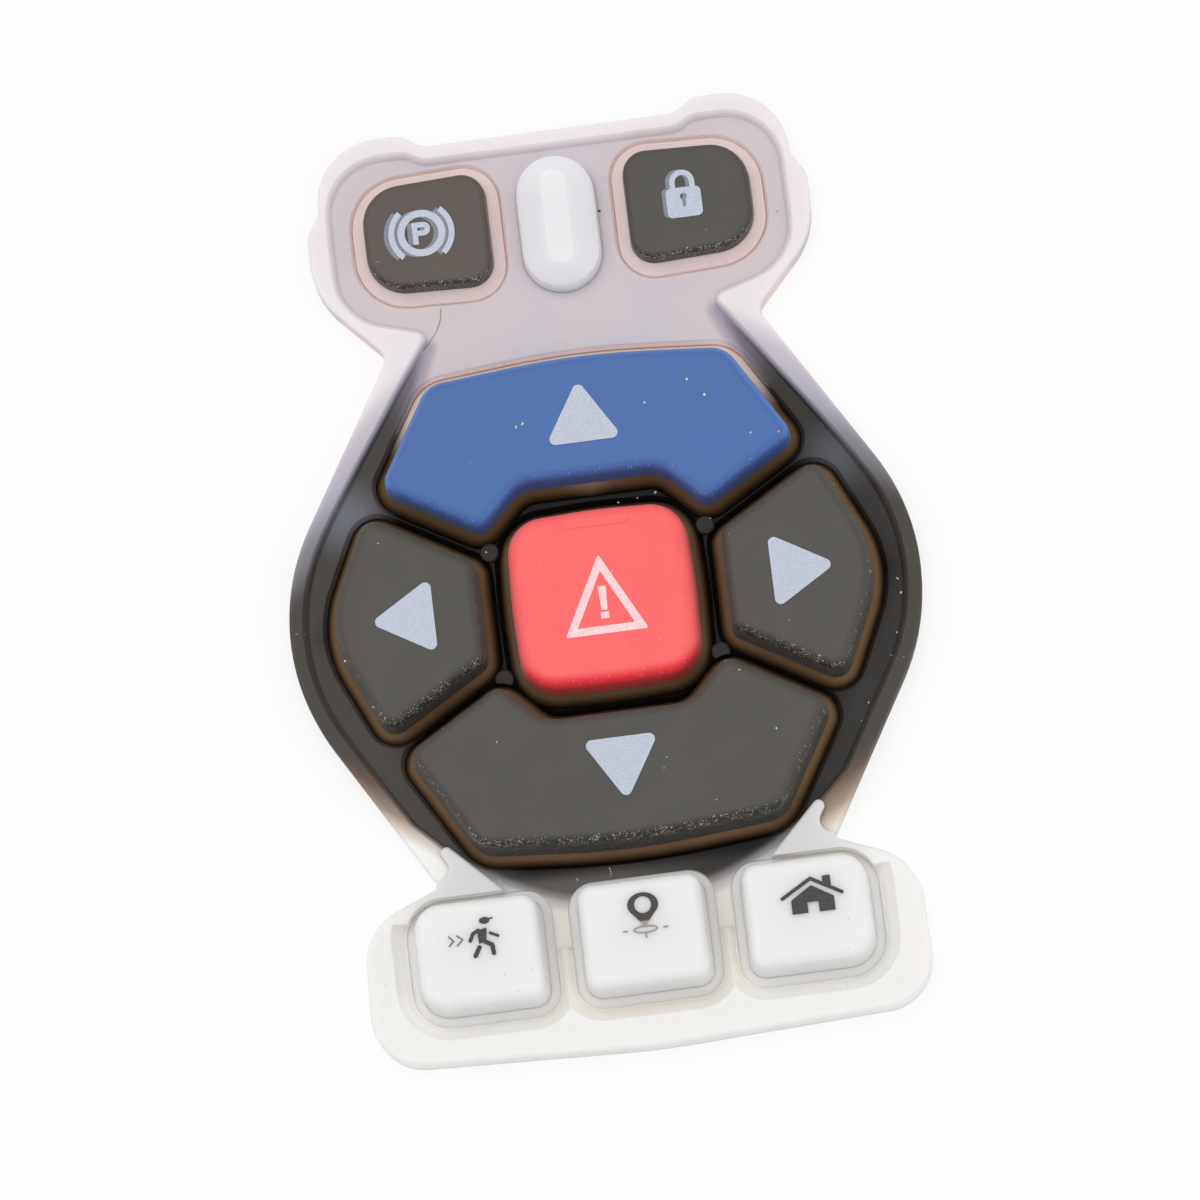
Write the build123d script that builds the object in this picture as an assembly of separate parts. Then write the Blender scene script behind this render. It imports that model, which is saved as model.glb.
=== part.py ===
from build123d import *
import math
import os

# Silicone key mat of a handheld remote control: ten keys in a shared rubber mat.
# Millimetres. X to the right, Y towards the two upper keys, Z up out of the key tops.
# The outlines are drawn about the centre of the hazard key and moved once, on writing,
# so that the origin lies under the middle of the whole mat, on its flat underside.

# Levels above the underside
vent_depth = 0.3
web_seat_z = 0.35
web_thickness = 0.35
travel = 1.0
contact_clearance = 0.05
pill_thickness = 0.3
floor_z = 1.4
rim_step = 0.6
block_step = 1.3
upper_key_height = 1.7
up_key_height = 2.7
side_key_height = 3.1
down_key_height = 3.6
hazard_key_height = 3.0
lower_key_height = 4.4
print_thickness = 0.06

# Hazard key, in the middle of the arrow cross
hazard_width = 13.6
hazard_depth = 13.3
hazard_corner_radius = 2.9
hazard_bulge = 0.3
hazard_bulge_radius = 45.0
hazard_mark_length = 5.2
hazard_mark_width = 0.7
hazard_mark_inset = 1.0
hazard_mark_height = 0.06

# Arrow keys, one on each side of the hazard key
hazard_gap_x = 2.45
hazard_gap_y = 2.7
arrow_key_gap = 2.25
gap_angle = 30.5
gap_y = 4.5
tall_key_depth = 9.9
tall_key_crown = 1.0
tall_key_margin = 3.9
down_hazard_gap = 2.3
down_key_gap = 1.9
down_key_depth = 10.4
side_key_depth = 12.05
side_key_angle = 24.6
bay_inset = 1.45
bay_flare_angle = 45.0
bay_radius = 2.6
tip_radius = 1.2
side_corner_radius = 1.3
shoulder_radius = 2.4
side_nose_radius = 8.0
crown_radius = 60.0
post_shift_x = 0.22
post_shift_y = 0.45
post_radius = 0.75
post_height = 0.25

# Hexagon that the mat forms round the arrow cross
hexagon_angle = 30.5
hexagon_margin = 5.5
hexagon_nose_radius = 17.0
rim_width = 1.5

# Upper lobe: light window, parking key and lock key
window_width = 6.2
window_length = 10.7
window_shoulder = 1.5
window_height = 2.7
window_ridge_width = 1.9
window_ridge_length = 7.4
window_drop = 0.35
window_gap = 2.2
lamp_recess_radius = 1.6
lamp_recess_depth = 0.8
upper_key_width = 9.7
upper_key_depth = 9.0
upper_key_slant = 0.4
upper_key_inner_radius = 1.9
upper_key_outer_radius = 3.1
upper_lobe_gap = 6.55
upper_edge_margin = 2.8
ear_start = 4.6
ear_rise = 1.1
ear_ramp = 1.4
ear_start_radius = 2.0
ear_side_margin = 3.3
ear_corner_radius = 5.5
ear_notch_rise = 3.0
ear_notch_length = 1.8
ear_notch_depth = 1.1
ear_notch_radius = 1.5
ear_lower_radius = 6.5
ear_lower_rise = 1.0
upper_neck_gap = 2.0
upper_neck_radius = 1.1
ear_rim_width = 1.8
ear_rim_radius = 4.2
ear_rim_side = 2.4
ear_rim_drop = 0.9
upper_flare_x = 10.6
upper_flare_gap = 3.6
upper_flare_end = 8.8

# Lower lobe: three white keys in a thicker block
lower_key_width = 9.7
lower_key_depth = 8.3
lower_key_pitch = 12.3
lower_key_radius = 1.3
lower_key_outer_radius = 2.2
lower_lobe_gap = 2.55
lower_side_margin = 4.05
lower_edge_margin = 4.1
lower_bow = 0.9
lower_bow_radius = 60.0
lower_shoulder_inset = 0.3
lower_shoulder_drop = 0.9
lower_shoulder_angle = 22.0
lower_shoulder_radius = 4.5
lower_corner_radius = 3.9
lower_neck_radius = 0.5
flare_x = 10.0
flare_length = 5.3
flare_drop = 0.9
flare_pocket_x = 1.3
flare_pocket_y = 0.7
flare_radius = 0.9
flare_tip_radius = 0.45

# Moats round the keys
arrow_moat = 0.8
upper_moat = 0.9
lower_moat = 0.7
lower_recess_moat = 0.9
moat_edge_angle = 35.0
moat_edge_depth = 0.4

# Draft and rounded edges
key_draft = 4.0
rim_draft = 38.0
recess_draft = 35.0
window_draft = 6.0
upper_edge_radius = 0.5
arrow_edge_radius = 0.85
hazard_edge_radius = 1.1
lower_edge_radius = 0.8
post_edge_radius = 0.2
mat_edge_radius = 0.3

# Pills and vents under the keys
large_pill_radius = 2.5
small_pill_radius = 2.2
vent_width = 0.9
vent_x = 8.5

# Where the upper milky rubber meets the black one, below the top of the blue key
upper_joint_drop = 4.0
upper_arm_end = 3.0

# Legends
arrow_mark_width = 5.9
arrow_mark_height = 4.9
arrow_mark_radius = 0.45
up_mark_rise = 0.15
down_mark_rise = 0.5
sign_width = 6.3
sign_height = 6.15
sign_line = 0.6
sign_radius = 0.12
exclaim_top = 0.58
exclaim_length = 1.85
exclaim_width = 0.64
exclaim_foot_width = 0.46
exclaim_gap = 0.15
exclaim_dot_height = 0.5
upper_mark_shift = -0.35
brake_ring_radius = 1.58
brake_ring_line = 0.55
brake_bow_radius = 2.33
brake_bow_line = 0.45
brake_bow_angle = 49.0
letter_width = 1.4
letter_height = 1.75
letter_line = 0.42
padlock_width = 2.7
padlock_height = 2.35
padlock_radius = 0.4
padlock_drop = 0.3
shackle_radius = 0.76
shackle_line = 0.42
shackle_rise = 0.45
keyhole_radius = 0.26
keyhole_length = 0.7
keyhole_drop = 0.7
walker_size = 3.0
walker_rise = 1.05
walker_shift = 0.4
pin_width = 2.3
pin_depth = 1.85
pin_hole_radius = 0.63
pin_drop = 1.65
pin_rise = 1.85
pin_shift = 0.2
pin_ring_width = 1.85
pin_ring_depth = 0.62
pin_ring_line = 0.13
pin_dash = 1.5
house_width = 3.2
house_height = 2.05
house_wall = 1.05
house_door_width = 0.83
house_door_height = 0.8
house_shift = 0.45
house_drop = 0.35
roof_width = 4.45
roof_height = 2.55
roof_drop = 1.27
roof_line = 0.27
chimney_x = 1.18
chimney_width = 0.6
chimney_height = 2.65

# Levels and places worked out from the sizes above
skirt_z = travel + contact_clearance + pill_thickness
web_top_z = skirt_z + web_thickness
rim_z = floor_z + rim_step
block_z = floor_z + block_step
lean = math.tan(math.radians(hexagon_angle))
gap_slope = math.tan(math.radians(gap_angle))
side_key_start = hazard_width / 2 + hazard_gap_x
side_key_tip = side_key_start + side_key_depth
gap_x = hazard_width / 2 + hazard_gap_x / 2
bay_y = hazard_depth / 2 + hazard_gap_y
tall_key_top = bay_y + tall_key_depth
down_bay_y = hazard_depth / 2 + down_hazard_gap
down_key_end = down_bay_y + down_key_depth
hexagon_x = side_key_tip + hexagon_margin
upper_key_inner = window_width / 2 + window_gap
upper_key_outer = upper_key_inner + upper_key_width
upper_key_x = (upper_key_inner + upper_key_outer) / 2
upper_key_bottom = tall_key_top + upper_lobe_gap
upper_key_top = upper_key_bottom + upper_key_depth
upper_key_y = (upper_key_bottom + upper_key_top) / 2
upper_edge_y = upper_key_top + upper_edge_margin
ear_top_y = upper_edge_y + ear_rise
ear_side_x = upper_key_outer + ear_side_margin
upper_neck_y = tall_key_top + upper_neck_gap
lower_key_top = -down_key_end - lower_lobe_gap
lower_key_y = lower_key_top - lower_key_depth / 2
lower_side_x = lower_key_pitch + lower_key_width / 2 + lower_side_margin
lower_edge_y = lower_key_top - lower_key_depth - lower_edge_margin
lower_shoulder_x = lower_side_x - lower_shoulder_inset
lower_shoulder_y = lower_key_top - lower_shoulder_drop
shoulder_slope = math.tan(math.radians(lower_shoulder_angle))
shoulder_start = lower_shoulder_y + lower_shoulder_x * shoulder_slope
lower_neck_x = (hexagon_x + lean * shoulder_start) / (1 + lean * shoulder_slope)
lower_neck_y = shoulder_start - lower_neck_x * shoulder_slope
upper_joint_y = tall_key_top - upper_joint_drop
far = 100.0
most_of_side = 0.98
tiny = 0.001


def hexagon_side(y, inset=0.0):
    """The x of the hexagon's straight side at a height y, moved in by an inset."""
    return hexagon_x - inset / math.cos(math.radians(hexagon_angle)) - abs(y) * lean


def gap_side(x, shift):
    """The y, at a given x, of a line along the slanted gap between two arrow keys."""
    return gap_y + (x - gap_x) * gap_slope + shift / math.cos(math.radians(gap_angle))


def rounded(corners):
    """A face with round corners, each given clockwise as x, y and radius."""
    corners = corners[::-1]
    places = [Vector(x, y) for x, y, radius in corners]
    sides = [after - here for here, after in zip(places, places[1:] + places[:1])]
    halves = []
    reaches = []
    for i, (x, y, radius) in enumerate(corners):
        halves.append(math.radians(180 - sides[i - 1].get_angle(sides[i])) / 2)
        reaches.append(radius / math.tan(halves[i]))
    shares = []
    for i, side in enumerate(sides):
        wanted = reaches[i] + reaches[(i + 1) % len(corners)]
        shares.append(min(1.0, most_of_side * side.length / max(wanted, tiny)))
    edges = []
    ends = []
    for i, here in enumerate(places):
        reach = reaches[i] * min(shares[i - 1], shares[i])
        back = sides[i - 1].normalized() * -reach
        ahead = sides[i].normalized() * reach
        if reach > 0:
            arc_radius = reach * math.tan(halves[i])
            inward = (back + ahead).normalized() * (arc_radius / math.sin(halves[i]) - arc_radius)
            edges.append(Edge.make_three_point_arc(here + back, here + inward, here + ahead))
        ends.append((here + back, here + ahead))
    for i, (start, end) in enumerate(ends):
        edges.append(Edge.make_line(ends[i - 1][1], start))
    return make_face(edges)


def both_sides(half):
    """All corners of a symmetric outline, from its right half, top to bottom."""
    return half + [(x, y, radius) for x, y, radius in swap_sides(half) if x < 0]


def swap_sides(corners):
    """The same corners on the other side of the mat's long axis."""
    return [(-x, y, radius) for x, y, radius in reversed(corners)]


def swap_ends(corners):
    """The same corners on the other side of the arrow cross."""
    return [(x, -y, radius) for x, y, radius in reversed(corners)]


def prism(face, low, high, draft=0.0):
    """A face extruded between two levels; a draft above zero narrows it upwards."""
    return extrude(Pos(0, 0, low) * face, high - low, taper=draft)


def soft_plate(face, height, radius=mat_edge_radius):
    """A face extruded from the board up, with a rounded upper edge."""
    plate = prism(face, 0, height)
    return fillet(plate.faces().sort_by(Axis.Z)[-1].edges(), radius)


# Outlines of the keys, at their feet
def hazard_corners():
    x = hazard_width / 2
    y = hazard_depth / 2
    half = [
        (0, y + hazard_bulge, hazard_bulge_radius),
        (x, y, hazard_corner_radius),
        (x + hazard_bulge, 0, hazard_bulge_radius),
        (x, -y, hazard_corner_radius),
        (0, -y - hazard_bulge, hazard_bulge_radius),
    ]
    return both_sides(half)


def tall_key_corners(bay, gap, depth):
    """The key above the hazard key, whose bay goes round it."""
    top = bay + depth
    shoulder = top - tall_key_crown
    shift = gap - arrow_key_gap / 2
    side_x = hexagon_side(0, tall_key_margin)
    bay_x = hazard_width / 2 - bay_inset
    side_y = (gap_side(0, shift) + side_x * gap_slope) / (1 + lean * gap_slope)
    flare = math.tan(math.radians(bay_flare_angle))
    tip_x = (bay + bay_x * flare - gap_side(0, shift)) / (gap_slope + flare)
    half = [
        (0, top, crown_radius),
        (side_x - shoulder * lean, shoulder, shoulder_radius),
        (side_x - side_y * lean, side_y, side_corner_radius),
        (tip_x, gap_side(tip_x, shift), tip_radius),
        (bay_x, bay, bay_radius),
    ]
    return both_sides(half)


def side_key_corners():
    """The key to the right of the hazard key, with its nose outwards."""
    nose = math.tan(math.radians(side_key_angle))
    inner_y = gap_side(side_key_start, -arrow_key_gap / 2)
    outer_y = (gap_side(0, -arrow_key_gap / 2) + side_key_tip * gap_slope) / (1 + nose * gap_slope)
    outer_x = side_key_tip - outer_y * nose
    return [
        (side_key_start, inner_y, tip_radius),
        (outer_x, outer_y, side_corner_radius),
        (side_key_tip, 0, side_nose_radius),
        (outer_x, -outer_y, side_corner_radius),
        (side_key_start, -inner_y, tip_radius),
    ]


def upper_key_corners():
    """The lock key, right of the light window; the parking key is its mirror image."""
    return [
        (upper_key_inner, upper_key_top, upper_key_inner_radius),
        (upper_key_outer, upper_key_top - upper_key_slant, upper_key_outer_radius),
        (upper_key_outer, upper_key_bottom + upper_key_slant, upper_key_outer_radius),
        (upper_key_inner, upper_key_bottom, upper_key_inner_radius),
    ]


def lower_key_corners(side):
    """A white key; side is -1, 0 or 1, and the outer corners are rounder."""
    left = lower_key_outer_radius if side < 0 else lower_key_radius
    right = lower_key_outer_radius if side > 0 else lower_key_radius
    x = side * lower_key_pitch
    width = lower_key_width / 2
    bottom = lower_key_top - lower_key_depth
    return [
        (x - width, lower_key_top, left),
        (x + width, lower_key_top, right),
        (x + width, bottom, right),
        (x - width, bottom, left),
    ]


def window_outline(width, length):
    return Pos(0, upper_key_y - window_drop) * SlotOverall(length, width, rotation=90)


# Outlines of the mat
def mat_outline():
    ear_start_x = upper_key_inner + ear_start
    notch_y = upper_key_y + ear_notch_rise
    bulge_x = ear_side_x + ear_notch_depth
    half = [
        (ear_start_x, upper_edge_y, ear_start_radius),
        (ear_start_x + ear_ramp, ear_top_y, ear_start_radius),
        (ear_side_x, ear_top_y, ear_corner_radius),
        (ear_side_x, notch_y, ear_notch_radius),
        (bulge_x, notch_y - ear_notch_length, ear_notch_radius),
        (bulge_x, upper_key_bottom + ear_lower_rise, ear_lower_radius),
        (hexagon_side(upper_neck_y), upper_neck_y, upper_neck_radius),
        (hexagon_x, 0, hexagon_nose_radius),
        (lower_neck_x, lower_neck_y, lower_neck_radius),
        (lower_shoulder_x, lower_shoulder_y, lower_shoulder_radius),
        (lower_side_x, lower_edge_y + lower_bow, lower_corner_radius),
        (0, lower_edge_y, lower_bow_radius),
    ]
    return rounded(both_sides(half))


def rim_inner_outline():
    """The edge of the sunken floor, inside the raised rim."""
    ear_start_x = upper_key_inner + ear_start
    ear_x = upper_key_outer + ear_rim_side
    rim_x = hexagon_side(0, rim_width)
    flare_y = lower_neck_y + flare_length
    half = [
        (ear_start_x, upper_edge_y - rim_width, ear_start_radius),
        (ear_start_x + ear_ramp, ear_top_y - ear_rim_width, ear_start_radius),
        (ear_x, ear_top_y - ear_rim_width, ear_rim_radius),
        (ear_x, upper_key_bottom - ear_rim_drop, ear_rim_radius),
        (upper_flare_x, tall_key_top + upper_flare_gap, flare_radius),
        (hexagon_side(tall_key_top - upper_flare_end, rim_width), tall_key_top - upper_flare_end, far),
        (rim_x, 0, hexagon_nose_radius - rim_width),
        (hexagon_side(flare_y, rim_width), flare_y, flare_tip_radius),
        (flare_x, lower_neck_y - flare_drop, flare_radius),
        (flare_x, lower_key_y, 0),
    ]
    return rounded(both_sides(half))


def block_outline():
    """The thicker block of the lower lobe, with the two flares that reach up into the necks."""
    flare_y = lower_neck_y + flare_length
    half = [
        (flare_x, lower_key_y, 0),
        (flare_x, lower_neck_y - flare_drop, flare_radius),
        (hexagon_side(flare_y, rim_width), flare_y, flare_tip_radius),
        (lower_neck_x - flare_pocket_x, lower_neck_y + flare_pocket_y, flare_radius),
        (lower_neck_x + flare_pocket_x, lower_neck_y + flare_pocket_y / 4, 0),
        (far, lower_neck_y + flare_pocket_y / 4, 0),
        (far, lower_edge_y - rim_width, 0),
    ]
    return rounded(both_sides(half)) & mat_outline()


def upper_area():
    """The part of the mat in the upper rubber mix: its end, and two arms down the rim."""
    rim = mat_outline() - rim_inner_outline()
    return area_between(upper_joint_y, far) + (rim & area_between(upper_arm_end, upper_joint_y))


def area_between(low, high):
    """A wide strip between two heights, for cutting the mat into its rubber mixes."""
    return Pos(0, (low + high) / 2) * Rectangle(far, high - low)


# Keys: name, outline, level of the top, moat, edge radius, pill radius, pill place
KEYS = {
    "parking": (rounded(swap_sides(upper_key_corners())), upper_key_height, upper_moat, upper_edge_radius,
                small_pill_radius, (-upper_key_x, upper_key_y)),
    "lock": (rounded(upper_key_corners()), upper_key_height, upper_moat, upper_edge_radius,
             small_pill_radius, (upper_key_x, upper_key_y)),
    "up": (rounded(tall_key_corners(bay_y, arrow_key_gap, tall_key_depth)), up_key_height, arrow_moat,
           arrow_edge_radius, large_pill_radius, (0, (bay_y + tall_key_top) / 2)),
    "left": (rounded(swap_sides(side_key_corners())), side_key_height, arrow_moat, arrow_edge_radius,
             large_pill_radius, (-(side_key_start + side_key_tip) / 2, 0)),
    "right": (rounded(side_key_corners()), side_key_height, arrow_moat, arrow_edge_radius,
              large_pill_radius, ((side_key_start + side_key_tip) / 2, 0)),
    "down": (rounded(swap_ends(tall_key_corners(down_bay_y, down_key_gap, down_key_depth))),
             down_key_height, arrow_moat, arrow_edge_radius,
             large_pill_radius, (0, -(down_bay_y + down_key_end) / 2)),
    "hazard": (rounded(hazard_corners()), hazard_key_height, arrow_moat, hazard_edge_radius,
               large_pill_radius, (0, 0)),
    "follow": (rounded(lower_key_corners(-1)), lower_key_height, lower_moat, lower_edge_radius,
               small_pill_radius, (-lower_key_pitch, lower_key_y)),
    "location": (rounded(lower_key_corners(0)), lower_key_height, lower_moat, lower_edge_radius,
                 small_pill_radius, (0, lower_key_y)),
    "home": (rounded(lower_key_corners(1)), lower_key_height, lower_moat, lower_edge_radius,
             small_pill_radius, (lower_key_pitch, lower_key_y)),
}
LOWER_KEYS = ("follow", "location", "home")


def key_solid(name):
    """A straight foot that the web joins, then drafted walls up to a rounded top."""
    outline, height, moat, edge_radius, pill_radius, place = KEYS[name]
    top_z = floor_z + height
    head = prism(outline, web_top_z, top_z, key_draft)
    head = fillet(head.faces().sort_by(Axis.Z)[-1].edges(), edge_radius)
    body = prism(outline, skirt_z, web_top_z) + head
    if name == "hazard":
        mark = SlotOverall(hazard_mark_length, hazard_mark_width)
        mark_y = hazard_depth / 2 - hazard_mark_inset
        body += prism(Pos(0, mark_y) * mark, top_z - hazard_mark_height, top_z + hazard_mark_height)
    return body


def pill_solid(name):
    outline, height, moat, edge_radius, pill_radius, place = KEYS[name]
    return prism(Pos(*place) * Circle(pill_radius), skirt_z - pill_thickness, skirt_z)


def web_solid(name):
    """A thin skirt that slopes from the wall of the moat up to the foot of the key."""
    outline, height, moat, edge_radius, pill_radius, place = KEYS[name]
    pocket = offset(outline, moat)
    slope = math.degrees(math.atan(moat / (skirt_z - web_seat_z)))
    above = prism(pocket, web_seat_z + web_thickness, web_top_z, slope)
    seat = prism(pocket, web_seat_z, web_seat_z + web_thickness)
    below = prism(pocket, web_seat_z, skirt_z, slope)
    return above + seat - below - prism(outline, web_seat_z, web_top_z)


def moat_cut(name):
    """The hole through the mat round one key, with a sloping upper edge."""
    outline, height, moat, edge_radius, pill_radius, place = KEYS[name]
    pocket = offset(outline, moat)
    slope = prism(pocket, floor_z - moat_edge_depth, floor_z, -moat_edge_angle)
    return prism(pocket, 0, floor_z + post_height) + slope


def vents():
    """Shallow channels under the mat, which let the air out from under a pressed key."""
    runs = [
        (0, 0, 0, bay_y + hazard_gap_y),
        (0, -down_bay_y - down_hazard_gap, 0, 0),
        (0, lower_key_y, 0, tall_key_crown - down_key_end),
    ]
    for side in (-1, 1):
        runs.append((side * vent_x, tall_key_top - 2 * tall_key_crown, side * vent_x, upper_key_y))
        runs.append((side * vent_x, lower_key_y, side * vent_x, 2 * tall_key_crown - down_key_end))
        runs.append((0, 0, side * (side_key_start + hazard_gap_x), 0))
    cut = None
    for x1, y1, x2, y2 in runs:
        box = Rectangle(abs(x2 - x1) + vent_width, abs(y2 - y1) + vent_width)
        bar = prism(Pos((x1 + x2) / 2, (y1 + y2) / 2) * box, 0, vent_depth)
        cut = bar if cut is None else cut + bar
    return cut


def mat_solids():
    """The three rubber mixes of the mat, cut from one rimmed plate and one thicker block."""
    outline = mat_outline()
    block = block_outline()
    plate = soft_plate(outline, rim_z)
    plate -= prism(rim_inner_outline(), floor_z, rim_z, -rim_draft)
    for x in (-gap_x - post_shift_x, gap_x + post_shift_x):
        for y in (-gap_y - post_shift_y, gap_y + post_shift_y):
            plate += soft_plate(Pos(x, y) * Circle(post_radius), floor_z + post_height, post_edge_radius)
    plate -= vents()
    upper = plate & prism(upper_area(), 0, rim_z)
    center = plate & prism(area_between(-far, far) - upper_area() - block, 0, rim_z)
    lower = soft_plate(block, block_z) - vents()
    recess = None
    for name in LOWER_KEYS:
        hollow = prism(offset(KEYS[name][0], lower_recess_moat), floor_z, block_z, -recess_draft)
        recess = hollow if recess is None else recess + hollow
    recess &= prism(area_between(-far, lower_shoulder_y), floor_z, block_z)
    lower -= recess
    center -= recess
    for name in KEYS:
        if name in LOWER_KEYS:
            hole = prism(offset(KEYS[name][0], lower_moat), 0, block_z)
            lower -= hole
            center -= hole
        else:
            cut = moat_cut(name)
            upper -= cut
            center -= cut
    upper -= prism(window_outline(window_width, window_length), 0, floor_z)
    return {"upper_mat": upper, "center_mat": center, "lower_mat": lower}


def window_solid():
    """A milky lozenge with a narrow flat ridge, hollow underneath for the lamp."""
    outline = window_outline(window_width, window_length)
    shoulder_z = floor_z + window_shoulder
    top_z = floor_z + window_height
    foot = prism(outline, 0, floor_z)
    wall = prism(outline, floor_z, shoulder_z, window_draft)
    lost = 2 * window_shoulder * math.tan(math.radians(window_draft))
    shoulder = Pos(0, 0, shoulder_z) * window_outline(window_width - lost, window_length - lost)
    ridge = Pos(0, 0, top_z) * window_outline(window_ridge_width, window_ridge_length)
    body = foot + wall + loft([shoulder.face(), ridge.face()], ruled=True)
    lamp = Pos(0, upper_key_y - window_drop) * Circle(lamp_recess_radius)
    recess = prism(lamp, 0, lamp_recess_depth)
    return body - recess


# Legends: flat prints on the key tops
def stroke(start, end, line):
    """A round-ended line of a legend."""
    length = math.dist(start, end)
    angle = math.degrees(math.atan2(end[1] - start[1], end[0] - start[0]))
    middle = Pos((start[0] + end[0]) / 2, (start[1] + end[1]) / 2)
    return middle * Rot(0, 0, angle) * SlotCenterToCenter(length, line)


def path(points, line):
    """Strokes from point to point."""
    strokes = [stroke(start, end, line) for start, end in zip(points, points[1:])]
    return Sketch() + strokes


def polygon(points):
    return make_face(Polyline(*points, close=True))


def ring(radius, line):
    return Circle(radius + line / 2) - Circle(radius - line / 2)


def arrow_mark(turn):
    x = arrow_mark_width / 2
    y = arrow_mark_height / 2
    corners = [(0, y), (x, -y), (-x, -y)]
    return Rot(0, 0, turn) * rounded([(*corner, arrow_mark_radius) for corner in corners])


def hazard_sign():
    x = sign_width / 2
    y = sign_height / 2
    outer = rounded([(*corner, sign_radius) for corner in [(0, y), (x, -y), (-x, -y)]])
    wide = exclaim_width / 2
    narrow = exclaim_foot_width / 2
    foot_y = exclaim_top - exclaim_length
    bar = polygon([(-wide, exclaim_top), (wide, exclaim_top), (narrow, foot_y), (-narrow, foot_y)])
    dot_y = foot_y - exclaim_gap - exclaim_dot_height / 2
    dot = Pos(0, dot_y) * Rectangle(exclaim_width, exclaim_dot_height)
    return outer - offset(outer, -sign_line) + bar + dot


def brake_sign():
    """A letter P in a ring, between two bows: the usual sign for a parking brake."""
    reach = 2 * brake_bow_radius
    spread = reach * math.tan(math.radians(brake_bow_angle))
    bow = ring(brake_bow_radius, brake_bow_line) & polygon([(0, 0), (reach, -spread), (reach, spread)])
    x = letter_width / 2
    y = letter_height / 2
    bowl = letter_height * 0.62
    stem = Pos(letter_line / 2 - x, 0) * Rectangle(letter_line, letter_height)
    loop = rounded([(-x, y, 0), (x, y, bowl / 2), (x, y - bowl, bowl / 2), (-x, y - bowl, 0)])
    letter = stem + (loop - offset(loop, -letter_line))
    return ring(brake_ring_radius, brake_ring_line) + bow + mirror(bow, about=Plane.YZ) + letter


def padlock():
    body = Pos(0, -padlock_height / 2) * RectangleRounded(padlock_width, padlock_height, padlock_radius)
    upper_half = Pos(0, padlock_width / 2) * Rectangle(far, padlock_width)
    shackle = Pos(0, shackle_rise) * (ring(shackle_radius, shackle_line) & upper_half)
    for x in (-shackle_radius, shackle_radius):
        shackle += Pos(x, 0) * Rectangle(shackle_line, 2 * shackle_rise)
    hole = Pos(0, -keyhole_drop) * Circle(keyhole_radius)
    hole += stroke((0, -keyhole_drop), (0, -keyhole_drop - keyhole_length), keyhole_radius)
    return Pos(0, padlock_height / 2 - padlock_drop) * (body + shackle - hole)


def walker():
    """A walking figure in a cap, with two chevrons behind it, as fractions of its size."""
    size = walker_size
    torso = [(-0.115, 0.15), (0.13, 0.195), (0.08, -0.165), (-0.1, -0.185)]
    limbs = [
        (0.09, [(-0.08, 0.15), (-0.225, 0.08), (-0.31, -0.09)]),
        (0.07, [(0.2, 0.05), (0.39, -0.04)]),
        (0.11, [(0.04, -0.14), (0.22, -0.25), (0.24, -0.46)]),
        (0.11, [(-0.1, -0.28), (-0.22, -0.48)]),
        (0.035, [(-0.83, 0.075), (-0.72, -0.045), (-0.84, -0.16)]),
        (0.035, [(-0.63, 0.08), (-0.49, -0.035), (-0.64, -0.17)]),
        (0.035, [(0.1, 0.4), (0.29, 0.42)]),
    ]
    figure = polygon([(x * size, y * size) for x, y in torso])
    figure += Pos(0.09 * size, 0.38 * size) * Ellipse(0.13 * size, 0.085 * size)
    for line, points in limbs:
        figure += path([(x * size, y * size) for x, y in points], line * size)
    return figure


def location_pin():
    """A pin over a small ring on the ground."""
    side = pin_width / 2 * 0.9
    shoulder = -pin_depth / 2 * 0.42
    head = Ellipse(pin_width / 2, pin_depth / 2)
    head += polygon([(-side, shoulder), (0, -pin_drop), (side, shoulder)])
    head -= Circle(pin_hole_radius)
    ground_y = -pin_drop - pin_ring_depth / 3
    outer = Ellipse(pin_ring_width / 2, pin_ring_depth / 2)
    inner = Ellipse(pin_ring_width / 2 - pin_ring_line, pin_ring_depth / 2 - pin_ring_line)
    sign = head + Pos(0, ground_y) * (outer - inner)
    for x in (-pin_dash, pin_dash):
        sign += stroke((x - pin_ring_line, ground_y), (x + pin_ring_line, ground_y), pin_ring_line)
    tick = [(0, ground_y - pin_ring_depth / 2), (0, ground_y - pin_ring_depth)]
    return sign + path(tick, pin_ring_line)


def house():
    wall = house_width / 2
    door = house_door_width / 2
    eaves = roof_width / 2
    body = polygon([(-wall, 0), (wall, 0), (wall, house_wall), (0, house_height), (-wall, house_wall)])
    body -= Pos(0, house_door_height / 2) * Rectangle(2 * door, house_door_height)
    roof = path([(-eaves, roof_drop), (0, roof_height), (eaves, roof_drop)], roof_line)
    chimney_low = roof_height - chimney_x * (roof_height - roof_drop) / eaves
    chimney = Pos(chimney_x, (chimney_height + chimney_low) / 2)
    chimney *= Rectangle(chimney_width, chimney_height - chimney_low)
    return body + roof + chimney


MARKS = {
    "parking": (brake_sign(), (upper_mark_shift - upper_key_x, upper_key_y)),
    "lock": (padlock(), (upper_mark_shift + upper_key_x, upper_key_y)),
    "up": (arrow_mark(0), (0, (bay_y + tall_key_top) / 2 + up_mark_rise)),
    "left": (arrow_mark(90), KEYS["left"][5]),
    "right": (arrow_mark(-90), KEYS["right"][5]),
    "down": (arrow_mark(180), (0, down_mark_rise - (down_bay_y + down_key_end) / 2)),
    "hazard": (hazard_sign(), (0, 0)),
    "follow": (walker(), (walker_shift - lower_key_pitch, lower_key_y + walker_rise)),
    "location": (location_pin(), (pin_shift, lower_key_y + pin_rise)),
    "home": (house(), (house_shift + lower_key_pitch, lower_key_y - house_drop)),
}


def legend_solid(name):
    mark, place = MARKS[name]
    top_z = floor_z + KEYS[name][1]
    return prism(Pos(*place) * mark, top_z, top_z + print_thickness)


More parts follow.
